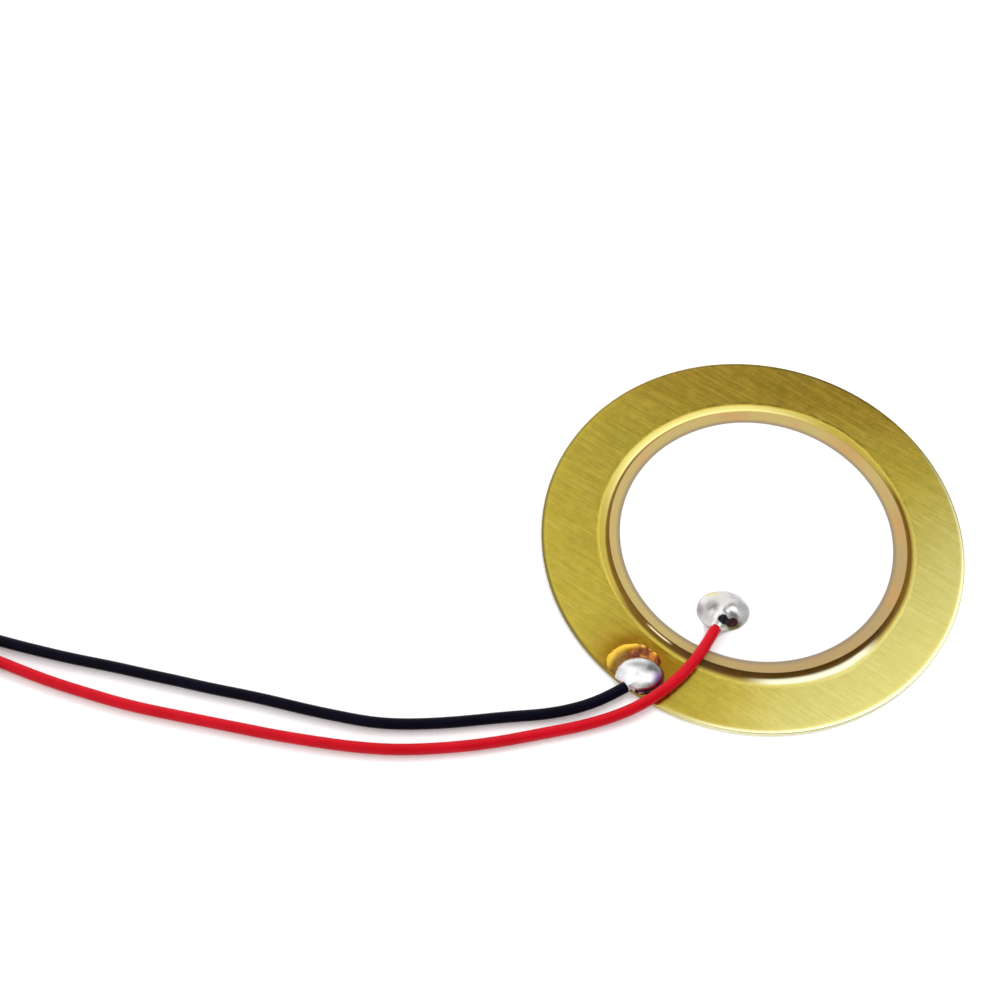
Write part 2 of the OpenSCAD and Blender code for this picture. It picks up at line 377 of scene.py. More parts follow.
# Routes of the leads as in the part's source: x, y and the underside's height
RED_END = (-3.5209, -8.7973)
BLACK_END = (-10.7892, -14.008)
RED_ROUTE = [
    (*RED_END, silver_top + 0.06), (-4.7, -10.9, silver_top + 0.03), (-6.1, -12.7, plate_top + 0.28),
    (-7.7, -14.2, plate_top + 0.2), (-9.5, -15.5, plate_top + 0.1), (-11.5, -16.4, 0.22),
    (-13.6, -17.1, 0.08), (-15.7, -17.6, 0), (-17.9, -18.1, 0), (-20, -18.6, 0), (-22.2, -19, 0),
    (-24.4, -19.3, 0), (-26.6, -19.5, 0), (-28.8, -19.6, 0), (-31, -19.5, 0), (-33.2, -19.3, 0),
    (-35.4, -19, 0), (-37.6, -18.7, 0), (-39.8, -18.3, 0), (-42, -17.9, 0), (-44.2, -17.5, 0),
    (-46.4, -17.1, 0), (-48.5, -16.7, 0), (-50.6, -16.2, 0), (-52.7, -15.6, 0), (-54.8, -15, 0),
    (-56.9, -14.3, 0), (-59, -13.5, 0), (-61.1, -12.7, 0), (-63.1, -11.9, 0.1)]
BLACK_ROUTE = [
    (*BLACK_END, plate_top), (-13, -15.3, 0.22), (-15.2, -16, 0.1), (-17.4, -16.4, 0),
    (-19.6, -16.6, 0), (-21.8, -16.9, 0), (-24, -17.2, 0), (-26.2, -17.4, 0), (-28.4, -17.5, 0),
    (-30.6, -17.4, 0), (-32.8, -17, 0), (-35, -16.6, 0), (-37.2, -16.1, 0), (-39.4, -15.6, 0),
    (-41.6, -15.2, 0), (-43.8, -14.8, 0), (-46, -14.3, 0), (-48.2, -13.9, 0), (-50.4, -13.4, 0),
    (-52.6, -13, 0), (-54.8, -12.6, 0), (-57, -12.1, 0), (-59.2, -11.6, 0), (-61.4, -11, 0),
    (-63.5, -10.4, 0.1)]

# Stored coil, as in the part's source: its place, its diameter at the middle of the two leads, and in
# degrees its start, its sweep and the tie's place. CLIMB is where a lead rises onto its first turn.
COIL_AT = (-67.0, -14.7)
COIL_D = 9.2
COIL_FROM = 70
COIL_SWEEP = 540
CLIMB = (232, 308)
TIE_AT = 30
LEAD_PITCH = 2 * LEAD_R + LEAD_GAP
RED_COIL_R = (COIL_D - LEAD_PITCH) / 2
BLACK_COIL_R = (COIL_D + LEAD_PITCH) / 2


# ---------------------------------------------------------------- camera

# Fitted to the outlines of both discs in the photo
LOOK_AT = Vector((-20.963, 3.019, 0)) * MM
ELEVATION, ROLL, DISTANCE = math.radians(59.7626), math.radians(1.4749), 134.42 * MM
back = Vector((0, -math.cos(ELEVATION), math.sin(ELEVATION)))
level_right = Vector((1, 0, 0))
level_up = back.cross(level_right)
right = level_right * math.cos(ROLL) + level_up * math.sin(ROLL)
up = level_up * math.cos(ROLL) - level_right * math.sin(ROLL)
camera_data = bpy.data.cameras.new("camera")
camera_data.sensor_width = 36
camera_data.lens = 57.54
camera_data.clip_start = 0.005
camera = bpy.data.objects.new("camera", camera_data)
eye = LOOK_AT + back * DISTANCE
camera.matrix_world = Matrix((
    (right.x, up.x, back.x, eye.x), (right.y, up.y, back.y, eye.y),
    (right.z, up.z, back.z, eye.z), (0, 0, 0, 1)))
bpy.context.scene.collection.objects.link(camera)
bpy.context.scene.camera = camera
bpy.context.scene.view_settings.view_transform = "Standard"


# ---------------------------------------------------------------- materials of the leads

def insulation(name, deep, bright, roughness, gloss):
    """Soft plastic, clouded, with a fine grain and dull scuffs."""
    s = Shader(name)
    cloud = s.noise(0.45, 2.0)
    grain = s.noise(9.0, 3.0)
    scuff = s.ranged(s.noise(1.7, 5.0, 0.65), 0.6, 0.75)
    tone = s.ranged(s.weighted((cloud, 0.7), (grain, 0.3)), 0.3, 0.7)
    s.set(Base_Color=s.mix(tone, deep, bright),
          Roughness=s.maths("MULTIPLY_ADD", scuff, 0.16, roughness),
          IOR=1.45, Specular_IOR_Level=gloss)
    s.bump(s.weighted((grain, 1), (scuff, 0.5)), 0.006, 0.6)
    return s.material


def tinned_look():
    """Tinned copper, a little streaky."""
    s = Shader("tinned_conductor")
    streak = s.noise(3.0, 4.0, 0.6)
    s.set(Metallic=1.0, Roughness=s.ranged(streak, 0.3, 0.7, 0.22, 0.42),
          Base_Color=s.mix(streak, (0.55, 0.54, 0.52), (0.83, 0.83, 0.82)))
    s.bump(streak, 0.012, 0.7)
    return s.material


def thread_look():
    """Pale twisted thread."""
    s = Shader("thread")
    twist = s.noise(6.0, 2.0, vector=s.streaked(0.6, 1.0, 0.2))
    fuzz = s.noise(22.0, 3.0)
    s.set(Base_Color=s.mix(twist, (0.62, 0.58, 0.48), (0.86, 0.83, 0.74)), Roughness=0.85,
          Sheen_Weight=0.3)
    s.bump(s.weighted((twist, 1), (fuzz, 0.4)), 0.03, 0.9)
    return s.material


red_mat = insulation("red_insulation", (0.48, 0.0008, 0.007), (0.575, 0.0018, 0.014), 0.29, 0.14)
black_mat = insulation("black_insulation", (0.001, 0.0008, 0.004), (0.0025, 0.002, 0.01), 0.3, 0.06)
tinned = tinned_look()


# ---------------------------------------------------------------- leads

def coil_axes(a):
    """Directions outwards and onwards where the coil has turned by a degrees."""
    turn = math.radians(COIL_FROM + a)
    return np.array([math.cos(turn), math.sin(turn), 0]), np.array([-math.sin(turn), math.cos(turn), 0])


def coil_line(r):
    """Centre line of a lead in the coil, which climbs onto its own first turn. It also stands up
    where the tie is under it, and where it comes in until it has set down."""
    step, tie_reach, set_down = 4.0, 55, 60
    out = []
    for a in np.arange(0, COIL_SWEEP + 0.01, step):
        near_tie = bell((a - TIE_AT + 180) % 360 - 180, tie_reach)
        lying = TIE_T * max(near_tie, smoothstep(set_down, 0, a))
        climb = float(smoothstep(*CLIMB, a))
        z = lying * (1 - climb) + climb * (2 * LEAD_R + TIE_T) + LEAD_R
        x, y = COIL_AT + r * coil_axes(a)[0][:2]
        out.append((x, y, z))
    return out


def relaxed(line):
    """The line with its small wavering evened out, fixed at both ends."""
    out = line.copy()
    for _ in range(30):
        out[1:-1, :2] = 0.25 * out[:-2, :2] + 0.5 * out[1:-1, :2] + 0.25 * out[2:, :2]
    return out


def lead(name, route, coil_r, material, nodes):
    """A lead from its joint along its route and round the coil, with hollow rounded ends. Returns
    its centre line too."""
    approach = [(x, y, z + LEAD_R) for x, y, z in route]
    coil = coil_line(coil_r)
    line = np.vstack([relaxed(spline(approach + coil[:3], LINE_STEP)[:-4]), spline(coil, LINE_STEP)])
    closest = 0.16
    keep = [0]
    for i in range(1, len(line)):
        if np.linalg.norm(line[i] - line[keep[-1]]) > closest:
            keep.append(i)
    line = line[keep]
    radii = np.array([LEAD_R * (1 + 0.012 * wobble(*p, 0.35)) for p in line])
    verts, faces = tube(line, radii, 28,
                        start=[(TUCK, CORE_R + 0.02), (0.02, CORE_R + 0.03), (-0.01, LEAD_R * 0.86),
                               (0.03, LEAD_R * 0.97)],
                        end=[(-0.02, LEAD_R * 0.97), (0.02, LEAD_R * 0.86), (-0.01, CORE_R + 0.03),
                             (-TUCK, CORE_R + 0.02)])
    return mesh_piece(name, verts, faces, material, nodes), line


red, red_line = lead("red_lead_wire", RED_ROUTE, RED_COIL_R, red_mat,
                     ("red_lead", "lead_coil"))
black, black_line = lead("black_lead_wire", BLACK_ROUTE, BLACK_COIL_R, black_mat,
                         ("black_lead", "lead_coil"))


def strands(start, ahead, begin, end):
    """Seven tinned strands, six twisted round one, from begin to end along a direction."""
    side = unit(np.cross(ahead, [0, 0, 1]))
    top = np.cross(side, ahead)
    strand_r, lay_r, twist_rate, steps = 0.078, 0.145, 2.1, 40
    parts = []
    for k in range(7):
        along = np.linspace(begin, end - (0.02 if k % 2 else 0.1), steps)
        off = 0.0 if k == 6 else lay_r
        twist = along * twist_rate + k * math.pi / 3
        path = (start + np.outer(along, ahead) + off * np.outer(np.cos(twist), side)
                + off * np.outer(np.sin(twist), top))
        r = np.full(steps, strand_r)
        r[-1] = 0.05
        parts.append(tube(path, r, 10))
    return joined(*parts)


def free_end(name, line, node):
    """Stripped end, straight on from the insulation."""
    verts, faces = strands(line[-1], coil_axes(COIL_SWEEP)[1], -TUCK, BARE_END)
    return mesh_piece(name, verts, faces, tinned, (node,))


red_tip = free_end("red_free_end", red_line, "red_core_free_end")
black_tip = free_end("black_free_end", black_line, "black_core_free_end")


def thread_tie():
    """Thread wound four times round the coil's leads and knotted on the outside."""
    outwards, onwards = coil_axes(TIE_AT)
    centre = np.array([*COIL_AT, 0]) + outwards * COIL_D / 2
    half_w = LEAD_PITCH / 2 + LEAD_R + THREAD_R
    mid_z = TIE_T + 2 * LEAD_R
    half_h = mid_z - THREAD_R
    corner = LEAD_R + THREAD_R

    def at(out_by, on_by, z):
        return centre + outwards * out_by + onwards * on_by + np.array([0, 0, z])

    def squared(half, c):
        """A cosine drawn out to half, so that the winding has straight sides and round corners."""
        return math.copysign(half - corner, c) * min(1, abs(c) * 2.2) + corner * c

    wraps, steps, width = 4, 40, 0.84
    wound = []
    for i in range(wraps * steps + 1):
        t = 2 * math.pi * i / steps
        onward = (i / (wraps * steps) - 0.5) * width
        wound.append(at(squared(half_w, math.cos(t)), onward, mid_z + squared(half_h, math.sin(t))))
    knot_r, knot_steps = 0.0935, 48
    knot = []
    for i in range(knot_steps + 1):
        t = 2 * math.pi * i / knot_steps
        knot.append(at(half_w + 0.08 + 0.09 * math.cos(3 * t),
                       knot_r * (math.sin(t) + 2 * math.sin(2 * t)),
                       mid_z + knot_r * (math.cos(t) - 2 * math.cos(2 * t))))
    tails = []
    for tail in (((0.05, 0.1, -0.1), (0.22, 0.5, -0.5), (0.2, 0.8, -0.95)),
                 ((0.05, -0.1, -0.1), (0.25, -0.4, -0.55), (0.3, -0.5, -0.98))):
        tails.append(spline([at(half_w + u, v, mid_z + w) for u, v, w in tail], 0.08))
    loose = [tube(np.array(path), 0.92 * THREAD_R, 10) for path in (knot, *tails)]
    verts, faces = joined(tube(np.array(wound), THREAD_R, 10), *loose)
    return mesh_piece("coil_thread", verts, faces, thread_look(), ("coil_tie",))


tie = thread_tie()


# ---------------------------------------------------------------- brass disc

# Angle of the brushing, and directions in the disc's plane along which colours change, the rim's painted
# light and shade among them
SCRATCHES = math.radians(-34)
NEAR_RIGHT = (0.6, -0.8, 0)
PAINTED_RIM_LIGHT = (0.75, -0.66, 0)


def brass_with_painted_sheen(s):
    """Tone of the bare brass with a painted sheen: warmer far from the viewer and paler on the near right,
    both painted reflection.
    """
    colour = s.mix(s.along((-0.17, -0.98, 0), -15.5, -7), (0.61, 0.415, 0.055), (0.655, 0.52, 0.07))
    return s.mix(s.along((0.71, -0.71, 0), 4, 15), colour, (0.64, 0.58, 0.2))


def brushed(s, turn, length, width, detail, roughness=0.5):
    """Noise drawn out along the brushing, or at a turn to it."""
    return s.noise(1.0, detail, roughness, vector=s.streaked(SCRATCHES + turn, length, width))


def heat_stain(s, colour):
    """Brown from flux and heat on the brass round its joint, on the upper side alone."""
    top_side = s.along((0, 0, 1), 0.05, 0.2)
    halo = s.near(over(brass_joint, -0.9, 1.0, plate_top), 2.2, 4.8)
    burnt = s.maths("MAXIMUM", s.near(over(brass_joint, 0, 0.6, plate_top), 2.4, 3.9),
                    s.near(over(brass_joint, 2.5, 0.8, plate_top), 0.4, 2.0))
    burnt = s.times(burnt, s.ranged(s.noise(1.3, 3.0), 0.25, 0.6, 0.5, 1.0))
    colour = s.mix(s.times(halo, s.times(top_side, 0.4)), colour, (0.5, 0.24, 0.01))
    return s.mix(s.times(burnt, s.times(top_side, 0.85)), colour, (0.3, 0.14, 0.005))


def brass_look():
    """Brushed brass, mottled and stained, its edge painted dark on the far left as shade and pale on the
    near right as a highlight.
    """
    s = Shader("brushed_brass")
    fine = brushed(s, 0, 3.2, 0.09, 3.0, 0.6)
    wide = brushed(s, 0.04, 6.0, 0.35, 3.0, 0.55)
    crossing = brushed(s, 1.2, 2.5, 0.16, 2.0)
    mottle = s.noise(1.1, 6.0, 0.75)
    tone = s.ranged(s.weighted((fine, 0.4), (wide, 0.25), (mottle, 0.35)), 0.33, 0.67)
    colour = s.mix(s.near((-8.5, -14.0, plate_top), 2, 11), brass_with_painted_sheen(s), (0.53, 0.42, 0.06))
    weak = s.mix(s.along(NEAR_RIGHT, 0, 12), (0.91, 0.895, 0.84), (0.84, 0.825, 0.68))
    colour = s.mix(1.0, colour, s.mix(tone, weak, (1.0, 1.0, 1.0)), "MULTIPLY")
    speck = s.ranged(s.noise(3.4, 2.0), 0.72, 0.8)
    colour = s.mix(s.times(speck, 0.2), colour, (0.34, 0.22, 0.05))
    for turn, tint in ((0.03, (0.36, 0.26, 0.03)), (-0.06, (0.95, 0.85, 0.35))):
        line = brushed(s, turn, 3.0, 0.07, 1.0)
        colour = s.mix(s.ranged(line, 0.64, 0.74, 0, 0.28), colour, tint)
    colour = heat_stain(s, colour)
    out = s.radius()
    # Painted shade along the rim on the far left.
    painted_shade_rim = s.times(s.ranged(out, plate_r - 0.3, plate_r - 0.1), s.along(PAINTED_RIM_LIGHT, 6, -6))
    colour = s.mix(s.times(painted_shade_rim, 0.85), colour, (0.14, 0.11, 0.035))
    # Painted highlight along the rim on the near right; its wall is made less metallic so that the pale
    # colour shows.
    painted_highlight_rim = s.times(s.ranged(out, plate_r - 0.42, plate_r - 0.14), s.along(PAINTED_RIM_LIGHT, 2, 10))
    colour = s.mix(s.times(painted_highlight_rim, 0.9), colour, (0.97, 0.93, 0.55))
    painted_highlight_wall = s.times(s.ranged(out, plate_r - 0.06, plate_r - 0.01), painted_highlight_rim)
    s.set(Base_Color=colour, Metallic=s.maths("MULTIPLY_ADD", painted_highlight_wall, -0.8, 1.0), Anisotropic=0.35,
          Roughness=s.ranged(tone, 0.0, 1.0, 0.19, 0.26))
    tangent = s.new("ShaderNodeCombineXYZ")
    tangent.inputs[0].default_value = math.cos(SCRATCHES)
    tangent.inputs[1].default_value = math.sin(SCRATCHES)
    s.put(s.bsdf.inputs["Tangent"], tangent.outputs[0])
    s.bump(s.weighted((fine, 0.8), (crossing, 0.25)), 0.002, 0.4)
    return s.material


def brass_sheet():
    """Punched disc: rolled over at its top edge, burnished, then torn down to a small burr."""
    spokes, top, back_z = 720, plate_top, 0.003
    rolled = [(0.6, top), (0.2, top), (0.16, top - 0.002), (0.12, top - 0.007), (0.08, top - 0.016),
              (0.045, top - 0.03), (0.018, top - 0.05), (0.004, top - 0.072), (0.0, top - 0.1)]
    torn = [(0.0, 0.12), (0.008, 0.1), (0.014, 0.06), (0.018, 0.02)]
    burr = [(0.014, 0.0), (0.06, back_z), (0.12, back_z), (0.6, back_z)]
    profile = rolled + torn + burr
    verts = [(0, 0, top)]
    for k, (inward, z) in enumerate(profile):
        below_rolled = k - len(rolled)
        for i in range(spokes):
            a = 2 * math.pi * i / spokes
            is_torn = 0 <= below_rolled < len(torn)
            ragged = wobble(60 * math.cos(a), 60 * math.sin(a), 0.6 * k) if is_torn else 0.0
            r = plate_r - inward - 0.006 * abs(ragged)
            raised = 0.02 * ragged if below_rolled == 0 else 0.0
            verts.append((r * math.cos(a), r * math.sin(a), z + raised))
    verts.append((0, 0, back_z))
    faces = wrapped(1, len(profile), spokes, 0, len(verts) - 1)
    mesh_piece("brass_sheet", verts, faces, brass_look(), ("brass_disc",))


brass_sheet()


# ---------------------------------------------------------------- ceramic and silver

def ceramic_look():
    """Fired ceramic: grainy and blotched, warmer in places and dark beside the silver."""
    s = Shader("ceramic")
    grain = s.noise(14.0, 4.0, 0.6)
    colour = s.mix(grain, (0.39, 0.285, 0.076), (0.5, 0.375, 0.112))
    colour = s.mix(s.ranged(s.noise(0.5, 3.0), 0.5, 0.72, 0, 0.65), colour, (0.5, 0.27, 0.1))
    colour = s.mix(s.ranged(s.noise(1.6, 3.0), 0.5, 0.72, 0, 0.35), colour, (0.36, 0.31, 0.17))
    colour = s.mix(s.times(s.along(NEAR_RIGHT, 0, 12), 0.7), colour, (0.35, 0.22, 0.09))
    for x, y, reach in ((12.1, 1.1, 2.2), (8.6, 8.4, 2.8), (-1.2, 11.7, 2.0), (11.0, -5.3, 1.8)):
        warm = s.near((x, y, ceramic_high[2]), 0.3, reach)
        colour = s.mix(s.times(warm, 0.7), colour, (0.47, 0.25, 0.075))
    beside_silver = s.ranged(s.radius(silver_mid), silver_r + 0.4, silver_r + 0.08, 0, 0.95)
    s.set(Base_Color=s.mix(beside_silver, colour, (0.26, 0.195, 0.115)),
          Roughness=s.ranged(grain, 0.3, 0.7, 0.4, 0.6), IOR=1.6)
    s.bump(grain, 0.01, 0.6)
    return s.material


def silver_look():
    """Fired silver paste: white and grainy, grey at its rim, and shaded as a dull print, not as metal."""
    s = Shader("fired_silver")
    grain = s.noise(11.0, 4.0, 0.6)
    cloud = s.noise(0.3, 3.0)
    colour = s.mix(s.weighted((grain, 0.5), (cloud, 0.5)), (0.86, 0.86, 0.86), (0.95, 0.95, 0.945))
    rim = s.ranged(s.radius(silver_mid), silver_r - 0.12, silver_r + 0.02, 0, 0.8)
    s.set(Base_Color=s.mix(rim, colour, (0.42, 0.38, 0.36)), Roughness=s.ranged(grain, 0.3, 0.7, 0.5, 0.7))
    s.bump(grain, 0.006, 0.5)
    return s.material


def upper_silver(material):
    """Printed silver layer: its edge is a little uneven and rounded off."""
    spokes = 360
    rise = silver_top - silver_low[2]
    profile = [(-1.0, 1.0), (-0.3, 1.0), (-0.06, 1.0), (-0.025, 0.93), (-0.007, 0.7),
               (0.0, 0.35), (0.0, 0.0)]
    verts = [over(silver_mid, 0, 0, silver_top)]
    for out, share in profile:
        for i in range(spokes):
            a = 2 * math.pi * i / spokes
            ca, sa = math.cos(a), math.sin(a)
            uneven = 0.02 * wobble(4 * ca, 4 * sa, 1.7) + 0.008 * wobble(30 * ca, 30 * sa, 5.1)
            r = silver_r + out - 0.02 + uneven
            verts.append(over(silver_mid, r * ca, r * sa, silver_low[2] + share * rise))
    faces = wrapped(1, len(profile), spokes, 0)
    mesh_piece("upper_silver_layer", verts, faces, material, ("upper_electrode",))


silver_mat = silver_look()
finish_node("ceramic_disc", ceramic_look())
upper_silver(silver_mat)
finish_node("lower_electrode", silver_mat)


# ---------------------------------------------------------------- epoxy

def thin_epoxy(s, lift, cloud):
    """Colour of the thin skirt over the brass: pale at the far left and in front as a painted highlight,
    brown on the right and at the near left from its thickness and as painted shade, and bare brass with its
    painted sheen where it runs out."""
    plain = s.mix(cloud, (0.42, 0.32, 0.05), (0.5, 0.385, 0.068))
    # Painted highlight on the skirt, paler where the skirt stands higher.
    painted_highlight = s.mix(s.ranged(lift, 0.012, 0.05), (0.76, 0.67, 0.21), (0.91, 0.79, 0.33))
    thin = s.mix(s.near((-5.2, 11.6, plate_top), 5, 14), plain, painted_highlight)
    thickness = s.maths("POWER", s.maths("MAXIMUM", lift, 0.0), 0.4)
    brown = s.mix(s.ranged(thickness, 0.06, 0.24), (0.52, 0.41, 0.07), (0.13, 0.065, 0.004))
    # Brown from the epoxy's thickness, and painted shade, on the right and at the near left.
    brown_and_painted_shade_side = s.maths("MAXIMUM", s.near((12.9, -3.5, plate_top), 7.0, 10.5),
                         s.near((-6.5, -11.2, plate_top), 4.5, 8.5))
    thin = s.mix(brown_and_painted_shade_side, thin, brown)
    # Painted white highlight in front.
    thin = s.mix(s.near((4.6, -12.3, plate_top), 3.4, 6.4), thin, (0.9, 0.875, 0.61))
    covered = s.ranged(lift, s.maths("MULTIPLY_ADD", brown_and_painted_shade_side, -0.0015, 0.0018),
                       s.maths("MULTIPLY_ADD", brown_and_painted_shade_side, -0.004, 0.008))
    return s.mix(covered, brass_with_painted_sheen(s), thin)


def epoxy_look():
    """Honey-coloured epoxy, dark where it is deep at the ceramic's wall. Painted shade makes that dark zone
    wider and darker at the front and paler at the back, and a painted glint lies along its bead at the near
    left.
    """
    s = Shader("epoxy")
    lift = s.maths("SUBTRACT", s.split(s.place)[2], plate_top)
    # Painted shade: at the front the dark deep zone reaches further out.
    painted_shade_front = s.along((0.1, -1.0, 0), -9, 10)
    depth = s.ranged(lift, s.maths("MULTIPLY_ADD", painted_shade_front, -0.033, 0.045),
                     s.maths("MULTIPLY_ADD", painted_shade_front, -0.042, 0.087))
    cloud = s.noise(1.4, 3.0)
    # Deep colour with painted light: darkest at the front, palest at the back.
    deep = s.mix(cloud, (0.12, 0.06, 0.002), (0.21, 0.105, 0.004))
    deep = s.mix(s.near((2.5, -12.6, plate_top), 7, 13), deep,
                 s.mix(cloud, (0.045, 0.019, 0.0005), (0.11, 0.052, 0.0015)))
    deep = s.mix(s.along((0.2, 0.98, 0), 3, 15), deep, (0.48, 0.35, 0.075))
    colour = s.mix(depth, thin_epoxy(s, lift, cloud), deep)
    # Painted glint along the bead at the near left.
    from_painted_glint = s.maths("ABSOLUTE", s.maths("SUBTRACT", s.radius(ceramic_mid), ceramic_r + 0.15))
    bead_and_painted_glint = s.times(s.ranged(from_painted_glint, 0.09, 0.03), s.near((-8.1, -9.3, 0.45), 0.7, 1.5))
    s.set(Base_Color=s.mix(bead_and_painted_glint, colour, (0.9, 0.75, 0.46)),
          # The thin epoxy is made less metallic, so that its painted highlight and shade show as they are.
          Metallic=s.times(s.maths("SUBTRACT", 1.0, depth), s.ranged(lift, 0.0, 0.004, 1.0, 0.12)),
          Roughness=s.ranged(cloud, 0.3, 0.7, 0.14, 0.26),
          IOR=1.5, Specular_IOR_Level=0.12, Coat_Weight=0.08, Coat_Roughness=0.05, Coat_IOR=1.5)
    s.bump(s.noise(2.2, 2.0), 0.012, 0.4)
    return s.material


def epoxy_slope(a, rise, steps):
    """The fillet at angle a round the ceramic, as (middle, radius, height) from the wall outwards."""
    to_right, to_joint, to_front, to_bead = -5, 232, 288, 228
    ca, sa = math.cos(a), math.sin(a)
    right_side = smoothstep(62, 30, abs((math.degrees(a) - to_right + 180) % 360 - 180))
    near_joint = bell(a - math.radians(to_joint), 0.5)
    reach = 1.25 - 0.3 * right_side - 0.35 * near_joint + 0.18 * bell(a - math.radians(to_front), 0.4)
    reach *= 0.96 + 0.05 * wobble(2.2 * ca, 2.2 * sa, 0.3) + 0.04 * wobble(9 * ca, 9 * sa, 2.9)
    skirt = 0.05 * (1 - 0.7 * right_side)
    steep = 0.21 + 0.03 * right_side + 0.12 * near_joint + 0.02 * wobble(4 * ca, 4 * sa, 8.1)
    crest = rise * (0.97 + 0.03 * wobble(3 * ca, 3 * sa, 7.0)) - skirt
    bead_and_painted_glint = 0.03 * bell(a - math.radians(to_bead), 0.12)
    slope = []
    for k in range(steps):
        t = (k / (steps - 1)) ** 1.5
        d = reach * t
        z = plate_top + (skirt + crest * math.exp(-d / steep)) * (1 - t) ** 2 + bead_and_painted_glint * bell(d - 0.16, 0.08)
        slope.append((ceramic_mid, ceramic_r + d, z))
    return slope


def epoxy_ring():
    """The squeezed-out epoxy, a hollow fillet from the ceramic's wall down to a thin feathered edge,
    with the film under the ceramic and the seat of the lower electrode in it."""
    film_top = corners("lower_electrode")[0][2]
    rise = corners("epoxy_bond")[1][2] - plate_top
    spokes, steps = 720, 26
    seat = [(ceramic_mid, ceramic_r, plate_top), (silver_mid, silver_r, film_top),
            (silver_mid, silver_r, ceramic_low[2]), (ceramic_mid, ceramic_r, ceramic_low[2])]
    verts, faces = [], []
    for i in range(spokes):
        a = 2 * math.pi * i / spokes
        for mid, r, z in epoxy_slope(a, rise, steps) + seat:
            verts.append(over(mid, r * math.cos(a), r * math.sin(a), z))
    row = steps + len(seat)
    under, above = len(verts), len(verts) + 1
    verts += [over(ceramic_mid, 0, 0, plate_top), over(silver_mid, 0, 0, film_top)]
    for i in range(spokes):
        j = (i + 1) % spokes
        for k in range(row):
            m = (k + 1) % row
            if k == steps:
                faces += [(i * row + k, under, j * row + k), (above, i * row + m, j * row + m)]
            else:
                faces.append((i * row + k, i * row + m, j * row + m, j * row + k))
    piece = mesh_piece("epoxy_fillet", verts, faces, epoxy_look(), ("epoxy_bond",))
    piece.data.set_sharp_from_angle(angle=math.radians(75))


epoxy_ring()


# ---------------------------------------------------------------- solder and flux

def solder_look(name, mid, painted_light_and_flux_patches, painted_dark_spots, matte):
    """Solder, frosted in places. patches are (place, reach, stretch, colour, share) of painted light, shade
    and reflection, with some flux film among them; the dark spots are (place, reach, stretch) of painted
    dark reflection; and matte is the same for a dull place, which on the brass joint carries its painted
    white highlight. Places are (u, v, z), with u and v from the joint's middle."""
    s = Shader(name)
    frost = s.noise(1.5, 3.0, 0.5)
    fine = s.noise(12.0, 3.0)
    colour = s.mix(s.ranged(frost, 0.3, 0.7), (0.57, 0.56, 0.55), (0.72, 0.72, 0.72))
    # Patches of painted light, shade and reflection, and of flux film.
    for place, reach, stretch, tint, share in painted_light_and_flux_patches:
        patch = s.near(over(mid, *place), 0.1 * reach, reach, stretch)
        colour = s.mix(s.times(patch, share), colour, tint)
    # Near-black spots of painted dark reflection, reddish towards their right.
    painted_dark_mask = 0.0
    for place, reach, stretch in painted_dark_spots:
        painted_dark_mask = s.maths("MAXIMUM", s.near(over(mid, *place), 0.0, 2 * reach, stretch), painted_dark_mask)
    ragged = s.maths("MULTIPLY_ADD", s.noise(2.6, 3.0), 0.7, 0.65)
    painted_dark_mask = s.ranged(s.times(painted_dark_mask, ragged), 0.33, 0.56)
    left = mid[0] + painted_dark_spots[0][0][0]
    painted_dark_colour = s.mix(s.along((1, 0, 0), left, left + 0.9), (0.002, 0.001, 0.004), (0.035, 0.006, 0.006))
    colour = s.mix(painted_dark_mask, colour, painted_dark_colour)
    # A dull place, where the brass joint's painted white highlight shows as it is.
    place, reach, stretch = matte
    dull = s.times(s.near(over(mid, *place), 0.2 * reach, reach, stretch),
                   s.ranged(frost, 0.25, 0.6, 0.45, 0.9))
    metal = s.maths("SUBTRACT", s.maths("SUBTRACT", 1.0, painted_dark_mask), dull, clamp=True)
    s.set(Base_Color=colour, Metallic=metal, Specular_IOR_Level=0.2,
          Roughness=s.ranged(frost, 0.3, 0.7, 0.2, 0.34))
    s.bump(s.weighted((frost, 1), (fine, 0.15)), 0.014, 0.5)
    return s.material


def inside_rim(centre, a, reach, margin):
    """The reach from a centre in direction a, cut where it comes within a margin of the plate's rim."""
    inwards = -(centre[0] * math.cos(a) + centre[1] * math.sin(a))
    limit = plate_r - margin
    return min(reach, inwards + math.sqrt(max(inwards ** 2 - centre @ centre + limit ** 2, 0)))


